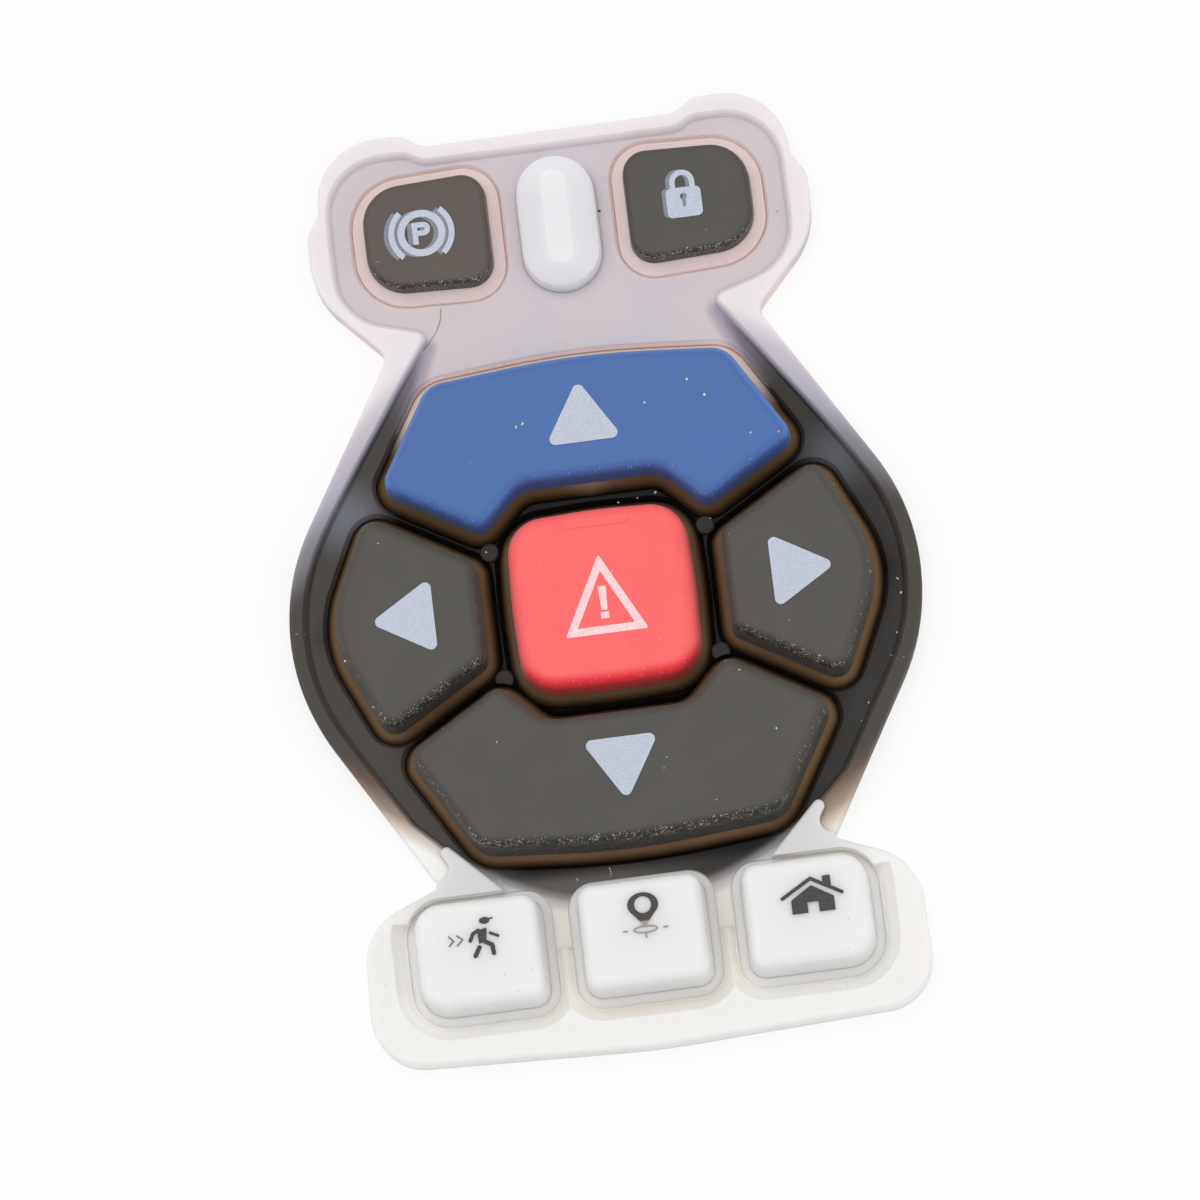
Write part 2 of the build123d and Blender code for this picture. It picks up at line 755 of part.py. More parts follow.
middle = mat_outline().bounding_box().center()


def write(name, solid):
    """Writes one piece, moved so that the mat's middle is at the origin."""
    export_step(Pos(-middle.X, -middle.Y, 0) * solid, "parts/" + name + ".step")


os.makedirs("parts", exist_ok=True)
for mat_name, mat in mat_solids().items():
    write(mat_name, mat)
write("light_window", window_solid())
for key in KEYS:
    write("key_" + key, key_solid(key))
    write("web_" + key, web_solid(key))
    write("pill_" + key, pill_solid(key))
    write("legend_" + key, legend_solid(key))
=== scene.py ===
# %% [markdown]
# # A silicone key mat from a handheld remote
#
# The object is one soft moulding: ten keys standing in a thin rubber mat. The rubber
# is milky at both ends and black round the arrow cross, and the one shades into the
# other. The shapes of the mat and the keys come from the imported CAD model. Blender
# adds the finishes, the skirts round the keys, the doubled print and the dust of a used
# mat.

import math
import random

import bmesh
import bpy
from mathutils import Matrix, Vector
from mathutils.bvhtree import BVHTree


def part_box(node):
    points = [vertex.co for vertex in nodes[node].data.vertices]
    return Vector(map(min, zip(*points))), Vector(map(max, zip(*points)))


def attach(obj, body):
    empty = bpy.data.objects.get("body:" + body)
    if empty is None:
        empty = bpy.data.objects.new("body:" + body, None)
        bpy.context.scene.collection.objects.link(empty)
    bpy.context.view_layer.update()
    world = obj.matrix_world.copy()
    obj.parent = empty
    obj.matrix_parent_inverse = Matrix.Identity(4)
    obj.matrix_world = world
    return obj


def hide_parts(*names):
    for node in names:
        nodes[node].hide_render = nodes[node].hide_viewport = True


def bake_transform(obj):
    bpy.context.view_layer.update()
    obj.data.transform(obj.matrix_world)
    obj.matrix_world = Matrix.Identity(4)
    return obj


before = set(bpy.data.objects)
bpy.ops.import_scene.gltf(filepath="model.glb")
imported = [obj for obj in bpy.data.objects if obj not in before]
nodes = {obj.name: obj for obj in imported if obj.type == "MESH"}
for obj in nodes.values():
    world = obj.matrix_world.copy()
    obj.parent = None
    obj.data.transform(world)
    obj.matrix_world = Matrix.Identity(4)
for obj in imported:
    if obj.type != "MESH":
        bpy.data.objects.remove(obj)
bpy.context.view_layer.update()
MM = 0.001

# %% [markdown]
# ## The camera
#
# A small object shot from half a metre away needs a long lens, so its far end hardly
# shrinks. The camera could be aimed with a tracking constraint, but three plain
# angles say more: tipped 13 degrees from straight above, 2 degrees to the side, and
# rolled 7 degrees, because the mat lies slightly askew in the picture.

# %% Camera
def put_in_scene(name, data):
    """An object of a mesh, a camera or a lamp, linked to the scene at the origin."""
    thing = bpy.data.objects.new(name, data)
    bpy.context.scene.collection.objects.link(thing)
    return thing


TILT = 13.0
PAN = 2.0
ROLL = -7.412
CAMERA_PLACE = (15.298, -102.870, 438.335)
SENSOR_WIDTH = 36.0
LENS_LENGTH = 177.53
NEAREST, FARTHEST = 0.02, 20.0

camera_data = bpy.data.cameras.new("camera")
camera_data.sensor_width = SENSOR_WIDTH
camera_data.lens = LENS_LENGTH
camera_data.clip_start = NEAREST
camera_data.clip_end = FARTHEST
camera = put_in_scene("camera", camera_data)
camera.rotation_mode = "ZYX"
camera.rotation_euler = [math.radians(a) for a in (TILT, PAN, ROLL)]
camera.location = Vector(CAMERA_PLACE) * MM
bpy.context.scene.camera = camera
bpy.context.scene.view_settings.view_transform = "Standard"
print("Camera lens:", LENS_LENGTH, "mm, distance:", round(camera.location.length, 3), "m")

# %% [markdown]
# ## Short calls for shader nodes
#
# A rubber that fades from milky to black is a question of position, so its material
# works out numbers from the Object coordinates. Node by node that gets long. These
# helpers each add one node and give back its output, so a pattern reads like a sum.

# %% Node helpers
def straight(share):
    """One screen value, from 0 to 1, as the linear value that shaders use."""
    return share / 12.92 if share <= 0.04045 else ((share + 0.055) / 1.055) ** 2.4


def linear(red, green, blue):
    """A colour given as 0 to 255 screen values, in linear values, with full cover."""
    return tuple(straight(v / 255) for v in (red, green, blue)) + (1.0,)


def feed(tree, socket, value):
    """Joins another node's output to a socket, or sets a plain value on it."""
    if isinstance(value, bpy.types.NodeSocket):
        tree.links.new(value, socket)
    else:
        socket.default_value = value


def calc(tree, operation, *values, clamp=False):
    node = tree.nodes.new("ShaderNodeMath")
    node.operation = operation
    node.use_clamp = clamp
    for socket, value in zip(node.inputs, values):
        feed(tree, socket, value)
    return node.outputs[0]


def vector_calc(tree, operation, *values, output=0):
    node = tree.nodes.new("ShaderNodeVectorMath")
    node.operation = operation
    for socket, value in zip(node.inputs, values):
        feed(tree, socket, value)
    return node.outputs[output]


def fade(tree, value, start, end):
    """0 up to start, 1 from end on, and a smooth step between; start may be above end."""
    node = tree.nodes.new("ShaderNodeMapRange")
    node.interpolation_type = "SMOOTHSTEP"
    feed(tree, node.inputs["Value"], value)
    feed(tree, node.inputs["From Min"], start)
    feed(tree, node.inputs["From Max"], end)
    return node.outputs["Result"]


def mix_colours(tree, share, first, second, mode="MIX"):
    node = tree.nodes.new("ShaderNodeMix")
    node.data_type = "RGBA"
    node.blend_type = mode
    feed(tree, node.inputs[0], share)
    feed(tree, node.inputs[6], first)
    feed(tree, node.inputs[7], second)
    return node.outputs[2]


def ramp(tree, share, stops):
    """Colours along a 0 to 1 share, given as (place, colour) stops."""
    node = tree.nodes.new("ShaderNodeValToRGB")
    feed(tree, node.inputs[0], share)
    points = node.color_ramp.elements
    while len(points) < len(stops):
        points.new(1.0)
    for point, (place, colour) in zip(points, stops):
        point.position = place
        point.color = colour
    return node.outputs[0]


def noise(tree, place, scale, detail=3.0, roughness=0.5):
    node = tree.nodes.new("ShaderNodeTexNoise")
    feed(tree, node.inputs["Vector"], place)
    node.inputs["Scale"].default_value = scale
    node.inputs["Detail"].default_value = detail
    node.inputs["Roughness"].default_value = roughness
    return node.outputs[0]


print("Mid grey for the shaders:", round(linear(128, 128, 128)[0], 3))

# %% [markdown]
# ## One way to start every finish
#
# All the pieces are rubber, ink or dust, so each finish is a Principled shader with a
# fine moulded grain. The pattern coordinates are millimetres from the middle of the
# hazard key. That key lies 2.2 mm below the middle of the mat, where the object has
# its origin, so a pattern's y is 2.227 more than the object's. A Mapping node makes
# the change once. A place read off the object's box has to be changed first: the lower
# end of the mat is at y -36.5 on the object, and at -34.2 in the patterns below.

# %% Start of a finish
HAZARD_Y = 2.227
SILICONE_IOR = 1.41
GRAIN_STRENGTH = 0.35


class Finish:
    """A Principled material, its coordinates in millimetres, and its fine grain."""

    def __init__(self, name, roughness, grain=0.02, grain_scale=3.0, gloss=0.5):
        self.material = bpy.data.materials.new(name)
        self.material.use_nodes = True
        self.tree = self.material.node_tree
        self.shader = self.tree.nodes["Principled BSDF"]
        self.shader.inputs["Roughness"].default_value = roughness
        self.shader.inputs["IOR"].default_value = SILICONE_IOR
        self.shader.inputs["Specular IOR Level"].default_value = gloss
        coordinates = self.tree.nodes.new("ShaderNodeTexCoord")
        mapping = self.tree.nodes.new("ShaderNodeMapping")
        mapping.inputs["Scale"].default_value = (1 / MM, 1 / MM, 1 / MM)
        mapping.inputs["Location"].default_value = (0.0, HAZARD_Y, 0.0)
        self.tree.links.new(coordinates.outputs["Object"], mapping.inputs["Vector"])
        self.place = mapping.outputs[0]
        parts = self.tree.nodes.new("ShaderNodeSeparateXYZ")
        self.tree.links.new(self.place, parts.inputs[0])
        self.x, self.y, self.z = parts.outputs
        facing = self.tree.nodes.new("ShaderNodeSeparateXYZ")
        self.tree.links.new(coordinates.outputs["Normal"], facing.inputs[0])
        _, self.facing_y, self.facing_z = facing.outputs
        if grain:
            bump = self.tree.nodes.new("ShaderNodeBump")
            bump.inputs["Strength"].default_value = GRAIN_STRENGTH
            bump.inputs["Distance"].default_value = grain * MM
            feed(self.tree, bump.inputs["Height"], noise(self.tree, self.place, grain_scale))
            self.tree.links.new(bump.outputs[0], self.shader.inputs["Normal"])

    def colour(self, value):
        feed(self.tree, self.shader.inputs["Base Color"], value)

    def milky(self, weight, depth, radius=(1.0, 0.85, 0.75)):
        """Lets light in: the share that scatters inside, and how far it goes in mm."""
        self.shader.inputs["Subsurface Weight"].default_value = weight
        self.shader.inputs["Subsurface Scale"].default_value = depth * MM
        self.shader.inputs["Subsurface Radius"].default_value = radius

    def silky(self, weight, roughness):
        self.shader.inputs["Sheen Weight"].default_value = weight
        self.shader.inputs["Sheen Roughness"].default_value = roughness

    def dress(self, piece):
        piece.data.materials.clear()
        piece.data.materials.append(self.material)


def mottled(finish, colour, spread, scale):
    """The colour, a little lighter and darker in soft patches."""
    tree = finish.tree
    patches = fade(tree, noise(tree, finish.place, scale), 0.3, 0.7)
    darker = tuple(v * (1 - spread) for v in colour[:3]) + (1.0,)
    lighter = tuple(min(1.0, v * (1 + spread)) for v in colour[:3]) + (1.0,)
    return mix_colours(tree, patches, darker, lighter)


print("Middle of the patterns: y", -HAZARD_Y, "mm on the object")

# %% [markdown]
# ## The mat: milky rubber that turns black
#
# Black rubber meets milky rubber, and the border is a soft fade, bluish at the upper
# end and brownish at the lower one. A vertex-colour layer could hold it, but the fade
# has to run on across three separate pieces. A share of black worked out from the
# position does that with no seams:
#
# - on the low floor, black fills the arrow cross and ends in two horns beside the
#   upper key, each a soft-edged stroke from one point to another;
# - at the lower end of the floor it stops along a curve that follows the lower arrow key;
# - on the raised rim it has its own, longer fades along the two slanted sides.
#
# A pair of numbers is a fade: the place where it starts and the place where it is full.

# %% Black on the floor
HORN_TIP = (11.2, 21.6, 0.0)
HORN_ROOT = (16.2, 14.6, 0.0)
HORN_REACH, HORN_WIDENING = 0.2, 1.5
HORN_EDGE = (1.0, -0.7)
CROSS_TOP = (17.0, 14.5)
CURVE_Y, CURVE_BEND = -23.1, 0.026
CURVE_EDGE = (-1.3, 1.1)


def horn_share(finish):
    """A soft-edged stroke beside the upper key, on both sides, wider towards its root."""
    tree = finish.tree
    flat = tree.nodes.new("ShaderNodeCombineXYZ")
    feed(tree, flat.inputs[0], calc(tree, "ABSOLUTE", finish.x))
    feed(tree, flat.inputs[1], finish.y)
    along = Vector(HORN_ROOT) - Vector(HORN_TIP)
    start = vector_calc(tree, "SUBTRACT", flat.outputs[0], HORN_TIP)
    share = vector_calc(tree, "DOT_PRODUCT", start, tuple(along / along.length_squared), output=1)
    share = calc(tree, "MULTIPLY", share, 1.0, clamp=True)
    nearest = tree.nodes.new("ShaderNodeVectorMath")
    nearest.operation = "SCALE"
    nearest.inputs[0].default_value = along
    feed(tree, nearest.inputs["Scale"], share)
    away = vector_calc(tree, "SUBTRACT", start, nearest.outputs[0])
    distance = vector_calc(tree, "LENGTH", away, output=1)
    reach = calc(tree, "MULTIPLY_ADD", share, HORN_WIDENING, HORN_REACH)
    stroke = fade(tree, calc(tree, "SUBTRACT", distance, reach), *HORN_EDGE)
    return calc(tree, "MULTIPLY", stroke, calc(tree, "MULTIPLY_ADD", share, 0.5, 0.5))


def floor_share(finish):
    """The cross, with its horns at the upper end and its curved border at the lower one."""
    tree, x, y = finish.tree, finish.x, finish.y
    upper = calc(tree, "MAXIMUM", horn_share(finish), fade(tree, y, *CROSS_TOP))
    bow = calc(tree, "MULTIPLY", x, x)
    border = calc(tree, "MULTIPLY_ADD", bow, CURVE_BEND, CURVE_Y)
    return calc(tree, "MULTIPLY", upper, fade(tree, calc(tree, "SUBTRACT", y, border), *CURVE_EDGE))


print("Horns run from", HORN_TIP[:2], "to", HORN_ROOT[:2])

# %% [markdown]
# The rim is higher than the floor, so the height of a point says which of the two
# shares it takes. The outer wall goes down past the floor's height and still belongs
# to the rim, and the lower block is higher than the rim and has no black at all.

# %% Black on the rim, and the whole share
FLOOR_TOP = 1.42
RIM_TOP = 1.95
BLOCK_STARTS = (2.5, 2.05)
HEXAGON_X = 26.8
HEXAGON_LEAN = 0.589
INNER_EDGE_LEAD = 1.2
UPPER_FADE_Y, UPPER_FADE_LENGTH, UPPER_SKEW = 19.0, 18.5, 0.07
LOWER_FADE_Y, LOWER_FADE_LENGTH, LOWER_SKEW = 18.4, 8.5, 0.11
OUTER_WALL = (0.5, 0.2)
OUTER_WALL_END = (20.0, 18.0)


def inward_distance(finish):
    """How far a point lies inside the straight sides of the hexagon, in mm along x."""
    tree = finish.tree
    across = calc(tree, "MULTIPLY_ADD", calc(tree, "ABSOLUTE", finish.y), HEXAGON_LEAN,
                  calc(tree, "ABSOLUTE", finish.x))
    return calc(tree, "SUBTRACT", HEXAGON_X, across)


def rim_share(finish):
    """Long even fades along the slanted sides, further along on the inner edge and on the right."""
    tree, x, y = finish.tree, finish.x, finish.y
    inward = inward_distance(finish)
    line = calc(tree, "MULTIPLY_ADD", inward, -INNER_EDGE_LEAD, y)
    down = calc(tree, "MULTIPLY_ADD", x, UPPER_SKEW, calc(tree, "SUBTRACT", UPPER_FADE_Y, line))
    up = calc(tree, "ADD", calc(tree, "MULTIPLY_ADD", x, LOWER_SKEW, y),
              calc(tree, "ADD", inward, LOWER_FADE_Y))
    upper = calc(tree, "MULTIPLY", down, 1 / UPPER_FADE_LENGTH, clamp=True)
    lower = calc(tree, "MULTIPLY", up, 1 / LOWER_FADE_LENGTH, clamp=True)
    return calc(tree, "MULTIPLY", upper, lower)


def black_share(finish):
    """The share of black at a point, and how far the point belongs to the rim."""
    tree = finish.tree
    outer_wall = calc(tree, "MULTIPLY", fade(tree, inward_distance(finish), *OUTER_WALL),
                      fade(tree, finish.y, *OUTER_WALL_END))
    raised = calc(tree, "MAXIMUM", fade(tree, finish.z, FLOOR_TOP, RIM_TOP), outer_wall)
    low = calc(tree, "SUBTRACT", 1.0, raised)
    on_rim = calc(tree, "MULTIPLY", raised, fade(tree, finish.z, *BLOCK_STARTS))
    rim = calc(tree, "MULTIPLY", rim_share(finish), on_rim)
    return calc(tree, "ADD", rim, calc(tree, "MULTIPLY", floor_share(finish), low)), raised


print("Rim fades:", UPPER_FADE_LENGTH, "mm at the upper end,", LOWER_FADE_LENGTH, "mm at the lower")

# %% [markdown]
# The milky rubber isn't one colour. It carries a painted pink back-light, lilac on the
# upper floor and rosy low in the moats of the upper keys, and it is nearly white at the
# lower end, with painted shade in the recess between the white keys. Masks by place and
# height choose among them. A mask by height alone would also colour the outer walls, so
# the ones for the moats and for the recess stop before the wall.

# %% Milky colours
# Painted pink back-light through the thin rubber: lilac on the floor and its patches, rosy in the
# moats.
LILAC_BACKLIT_FLOOR = linear(212, 204, 210)
LILAC_BACKLIT_PATCH = linear(216, 206, 208)
MILKY_RIM = linear(235, 229, 231)
ROSY_BACKLIT_MOAT = linear(250, 221, 217)
MILKY_LOWER = linear(240, 239, 237)
MILKY_FLARE = linear(224, 223, 223)
LOWER_RECESS = linear(255, 252, 247)
# Painted shade in the recess between the white keys.
SHADE_BETWEEN_KEYS = linear(248, 240, 229)
MOAT_X, MOAT_Y, MOAT_Z = (17.8, 17.0), (37.2, 36.4), (1.38, 1.1)
BETWEEN_X = (9.5, 6.0)
FLARE_Y = (-22.5, -20.5)
RECESS_Y, RECESS_Z = (-33.9, -33.2), (2.6, 1.7)
LOWER_END_Y = (-14.0, -17.0)


def milky_colour(finish, raised):
    """Painted back-light, lilac on the upper floor and rosy in its moats; nearly white at the lower
    end, with painted shade between the white keys.
    """
    tree = finish.tree
    patches = fade(tree, noise(tree, finish.place, 0.12), 0.35, 0.65)
    floor = mix_colours(tree, patches, LILAC_BACKLIT_FLOOR, LILAC_BACKLIT_PATCH)
    upper = mix_colours(tree, raised, floor, MILKY_RIM)
    across = calc(tree, "ABSOLUTE", finish.x)
    inside = calc(tree, "MULTIPLY", fade(tree, across, *MOAT_X), fade(tree, finish.y, *MOAT_Y))
    moat = calc(tree, "MULTIPLY", inside, fade(tree, finish.z, *MOAT_Z))
    upper = mix_colours(tree, moat, upper, ROSY_BACKLIT_MOAT)
    recess = mix_colours(tree, fade(tree, across, *BETWEEN_X), LOWER_RECESS, SHADE_BETWEEN_KEYS)
    block = mix_colours(tree, fade(tree, finish.y, *FLARE_Y), MILKY_LOWER, MILKY_FLARE)
    low = calc(tree, "MULTIPLY", fade(tree, finish.y, *RECESS_Y), fade(tree, finish.z, *RECESS_Z))
    lower = mix_colours(tree, low, block, recess)
    return mix_colours(tree, fade(tree, finish.y, *LOWER_END_Y), upper, lower)


print("The recess takes its colour from y", RECESS_Y[0], "on")

# %% [markdown]
# The black rubber carries painted shade, deepest in the gaps round the keys and paler
# towards the rim. It carries painted light as well: the floor and the plateau step are
# paler on the left, and a painted bluish reflection lies in the two side pockets. The lamps
# of this scene don't give these, so they are laid in as colour here, and they stay put in other
# light.

# %% Black colours
BLACK_RIM = linear(80, 76, 71)
BLACK_FLOOR = linear(58, 55, 52)
# Painted shadow: the near black deep in the gaps round the keys.
GAP_SHADE_BLACK = linear(9, 8, 6)
# Painted light: the paler floor and plateau step on the left.
PAINTED_LIGHT_LEFT_FLOOR = linear(80, 76, 72)
PAINTED_LIGHT_PLATEAU = linear(104, 100, 96)
# Painted bluish reflections in the side pockets, paler on the left.
RIGHT_POCKET_REFLECTION = linear(92, 94, 100)
LEFT_POCKET_REFLECTION = linear(120, 122, 130)
LEFT_X = (8.0, -8.0)
GAP_DEPTH = (2.4, 6.5)
POCKET_X, POCKET_Y, POCKET_RADIUS = 18.8, 9.0, 4.0
PLATEAU_X, PLATEAU_Y, PLATEAU_Z = (7.0, -3.0), (-19.8, -21.2), (1.3, 1.4)


def near(finish, x, y, radius):
    """1 at a point of both the left and the right side, 0 from a radius on."""
    tree = finish.tree
    across = calc(tree, "SUBTRACT", calc(tree, "ABSOLUTE", finish.x), x)
    up = calc(tree, "SUBTRACT", finish.y, y)
    square = calc(tree, "MULTIPLY_ADD", across, across, calc(tree, "MULTIPLY", up, up))
    return fade(tree, calc(tree, "SQRT", square), radius, 0.0)


def black_colour(finish, raised):
    """Black with painted shadow deep round the keys, paler to the rim; painted light paler to the
    left and on the plateau; painted bluish reflections in the side pockets.
    """
    tree = finish.tree
    left = fade(tree, finish.x, *LEFT_X)
    outer = mix_colours(tree, left, BLACK_FLOOR, PAINTED_LIGHT_LEFT_FLOOR)
    depth = calc(tree, "MULTIPLY_ADD", left, -1.0, inward_distance(finish))
    floor = mix_colours(tree, fade(tree, depth, *GAP_DEPTH), outer, GAP_SHADE_BLACK)
    painted_reflection = mix_colours(tree, left, RIGHT_POCKET_REFLECTION, LEFT_POCKET_REFLECTION)
    floor = mix_colours(tree, near(finish, POCKET_X, POCKET_Y, POCKET_RADIUS), floor, painted_reflection)
    plateau = calc(tree, "MULTIPLY", fade(tree, finish.y, *PLATEAU_Y),
                   fade(tree, finish.z, *PLATEAU_Z))
    step = mix_colours(tree, fade(tree, finish.x, *PLATEAU_X), BLACK_FLOOR, PAINTED_LIGHT_PLATEAU)
    floor = mix_colours(tree, plateau, floor, step)
    return mix_colours(tree, raised, floor, BLACK_RIM)


print("Side pockets at x", POCKET_X, "and y", POCKET_Y)

# %% [markdown]
# The share then picks colours from two ramps, one for the cool border and one for the
# warm border, because a straight mix of white and black would look like grey paint.
# The milky part scatters light inside, which also softens its edges.

# %% Mat finish
UNCHANGED = (1, 1, 1, 1)
COOL_BORDER = [(0.0, UNCHANGED), (0.17, linear(224, 222, 228)), (0.42, linear(198, 200, 212)),
               (0.6, linear(157, 159, 166)), (0.85, linear(122, 121, 123)),
               (1.0, linear(84, 83, 82))]
WARM_BORDER = [(0.0, UNCHANGED), (0.26, linear(209, 197, 185)), (0.35, linear(176, 161, 146)),
               (0.66, linear(115, 102, 89)), (1.0, linear(84, 78, 70))]
WARM_Y = (2.0, -8.0)
BLACK_TAKES_OVER = (0.7, 1.0)


def mat_finish():
    finish = Finish("moulded_mat", roughness=0.5, grain=0.015, grain_scale=4.0, gloss=0.2)
    tree = finish.tree
    share, raised = black_share(finish)
    milky = milky_colour(finish, raised)
    black = black_colour(finish, raised)
    cool = ramp(tree, share, COOL_BORDER)
    warm = ramp(tree, share, WARM_BORDER)
    brownish = calc(tree, "MULTIPLY", fade(tree, finish.y, *WARM_Y), raised)
    border = mix_colours(tree, brownish, cool, warm)
    milky = mix_colours(tree, 1.0, milky, border, mode="MULTIPLY")
    finish.colour(mix_colours(tree, fade(tree, share, *BLACK_TAKES_OVER), milky, black))
    finish.milky(0.7, 1.0)
    return finish


mat_rubber = mat_finish()
for name in ("upper_mat", "center_mat", "lower_mat"):
    mat_rubber.dress(nodes[name])
print("Nodes in the mat's finish:", len(mat_rubber.tree.nodes))

# %% [markdown]
# ## The keys
#
# The keys carry a silky soft-touch coat. On a flat top it looks even, so its life
# comes from faint patches and a matt grain. Fine pale dust catches on the edges that
# roll away towards the user. Strewn meshes would make thousands of faces, so the dust
# is a pattern: a cell pattern gives the specks, and the way a surface faces says how
# many of them it holds. A rolled edge towards the user holds most, a sheer wall few.

# %% Dust on the keys
TOWARDS_USER = (-0.1, -0.75)
DUST_SHEER, SHEER_LOSS = (0.35, 0.0), 0.85
DUST_ROLLING, ROLLING_SHARE = (0.9, 0.5), 0.15
FINE_SPECK, COARSE_SPECK, COARSE_SHARE = 0.11, 0.2, 0.3
DUST_ON_TOPS = 0.006
DUST_COVER = 0.75


def dust_specks(finish, size, share):
    """Small round specks: one in each cell of a cell pattern, in a share of the cells."""
    tree = finish.tree
    cells = tree.nodes.new("ShaderNodeTexVoronoi")
    feed(tree, cells.inputs["Vector"], finish.place)
    cells.inputs["Scale"].default_value = 1.0 / size
    pick = tree.nodes.new("ShaderNodeSeparateColor")
    feed(tree, pick.inputs[0], cells.outputs["Color"])
    taken = fade(tree, calc(tree, "SUBTRACT", share, pick.outputs[0]), 0.0, 0.02)
    return calc(tree, "MULTIPLY", fade(tree, cells.outputs["Distance"], 0.5, 0.2), taken)


def settled_dust(finish, low, amount):
    """How much dust covers a point; low says how far it faces the user."""
    tree = finish.tree
    clumps = fade(tree, noise(tree, finish.place, 1.1, detail=2.0), 0.3, 0.58)
    sheer = fade(tree, finish.facing_z, *DUST_SHEER)
    caught = calc(tree, "MULTIPLY", low, calc(tree, "MULTIPLY_ADD", sheer, -SHEER_LOSS, 1.0))
    rolling = calc(tree, "MULTIPLY", fade(tree, finish.facing_z, *DUST_ROLLING), ROLLING_SHARE)
    edges = calc(tree, "MAXIMUM", caught, rolling)
    share = calc(tree, "MULTIPLY_ADD", calc(tree, "MULTIPLY", edges, clumps), amount,
                 amount * DUST_ON_TOPS)
    coarse = dust_specks(finish, COARSE_SPECK, calc(tree, "MULTIPLY", share, COARSE_SHARE))
    specks = calc(tree, "MAXIMUM", dust_specks(finish, FINE_SPECK, share), coarse)
    return calc(tree, "MULTIPLY", specks, DUST_COVER)


print("Specks of dust in mm:", FINE_SPECK, "and", COARSE_SPECK)

# %% [markdown]
# One function dresses all the soft-touch keys. Each gets the colour of its top, a painted
# highlight on its rolled edge and painted shade on the side that faces the user, then its
# dust and how much of it.

# %% Key finishes
ROLLED_EDGE = (0.985, 0.7)
GREY_DUST = linear(188, 182, 168)


def key_finish(name, colour, edge_highlight, shaded_low_edge, dust, amount):
    """A soft-touch key: patchy colour, a painted highlight on the rolled edge, painted shade on the
    side facing the user, and dust.
    """
    finish = Finish(name, roughness=0.48, grain=0.012, grain_scale=6.0)
    tree = finish.tree
    top = mottled(finish, colour, 0.04, 0.35)
    # Painted highlight on the rolled edge, painted shade on the side facing the user.
    rolled = mix_colours(tree, fade(tree, finish.facing_z, *ROLLED_EDGE), top, edge_highlight)
    low = fade(tree, finish.facing_y, *TOWARDS_USER)
    rolled = mix_colours(tree, low, rolled, shaded_low_edge)
    finish.colour(mix_colours(tree, settled_dust(finish, low, amount), rolled, dust))
    finish.silky(0.12, 0.4)
    return finish


charcoal = key_finish("charcoal_key", linear(69, 66, 61), linear(70, 66, 60),
                      linear(44, 42, 36), GREY_DUST, 0.7)
brownish_charcoal = key_finish("brownish_charcoal_key", linear(81, 72, 66), linear(80, 71, 64),
                               linear(48, 42, 37), GREY_DUST, 0.7)
blue = key_finish("blue_key", linear(66, 103, 166), linear(84, 122, 188),
                  linear(64, 96, 164), linear(196, 200, 212), 0.1)
red = key_finish("red_key", linear(255, 101, 100), linear(255, 104, 104),
                 linear(255, 58, 70), linear(255, 206, 200), 0.08)
brownish_charcoal.dress(nodes["key_parking"])
for name in ("lock", "left", "right", "down"):
    charcoal.dress(nodes["key_" + name])
blue.dress(nodes["key_up"])
red.dress(nodes["key_hazard"])
print("Soft-touch finishes:", [f.material.name for f in (charcoal, brownish_charcoal, blue, red)])

# %% [markdown]
# The white keys are bare milky rubber, so light goes in and scatters, and they glow.
# Their walls carry a painted cool shade, a little stronger towards the foot. The window
# over the signal lamp is the same kind of rubber, drawn lighter low on its walls as
# painted light, and the hidden pills are carbon, dark and dull.

# %% White keys, light window and pills
KEY_WALL_Z = (4.6, 2.0)
WINDOW_Z = (2.2, 4.2)

white = Finish("white_key", roughness=0.42, grain=0.01, grain_scale=6.0)
# Painted cool shade down the walls of the white keys.
painted_cool_shade = calc(white.tree, "MULTIPLY", fade(white.tree, white.z, *KEY_WALL_Z), 0.5)
white.colour(mix_colours(white.tree, painted_cool_shade, linear(233, 233, 233), linear(228, 232, 238)))
white.milky(0.9, 2.0)
for name in ("follow", "location", "home"):
    white.dress(nodes["key_" + name])

window_rubber = Finish("light_window", roughness=0.38, grain=0.008, grain_scale=5.0)
# Painted light: the window is lighter low on its walls than on its top.
up_the_window = fade(window_rubber.tree, window_rubber.z, *WINDOW_Z)
window_rubber.colour(mix_colours(window_rubber.tree, up_the_window,
                                 linear(236, 233, 238), linear(230, 229, 232)))
window_rubber.milky(1.0, 2.5)
window_rubber.dress(nodes["light_window"])

pill_carbon = Finish("carbon_pill", roughness=0.7, grain=0.01)
pill_carbon.colour(mottled(pill_carbon, linear(40, 40, 42), 0.2, 3.0))
pills = [name for name in nodes if name.startswith("pill_")]
for name in pills:
    pill_carbon.dress(nodes[name])
print("Pills:", len(pills))

# %% [markdown]
# ## The print
#
# The light legends are a silver ink with fine metal flakes, which shows as a grainy
# grey. The dark ones are printed thinly, and look paler where their lines are finest.
# Those places get their own tone by a mask, since a legend is one piece.

# %% Legend finishes
RING_Y, RING_X = (-25.35, -25.5), (4.0, 3.9)
ARROWS_X = (-13.2, -13.3)
PALE_RING = linear(158, 150, 143)
PALE_ARROWS = linear(112, 105, 100)


def ink(name, light, dark, scale, roughness, metallic=0.0):
    finish = Finish(name, roughness, grain=0.01, grain_scale=12.0)
    tree = finish.tree
    grains = noise(tree, finish.place, scale, detail=4.0, roughness=0.7)
    finish.tone = mix_colours(tree, fade(tree, grains, 0.35, 0.65), dark, light)
    finish.colour(finish.tone)
    finish.shader.inputs["Metallic"].default_value = metallic
    return finish


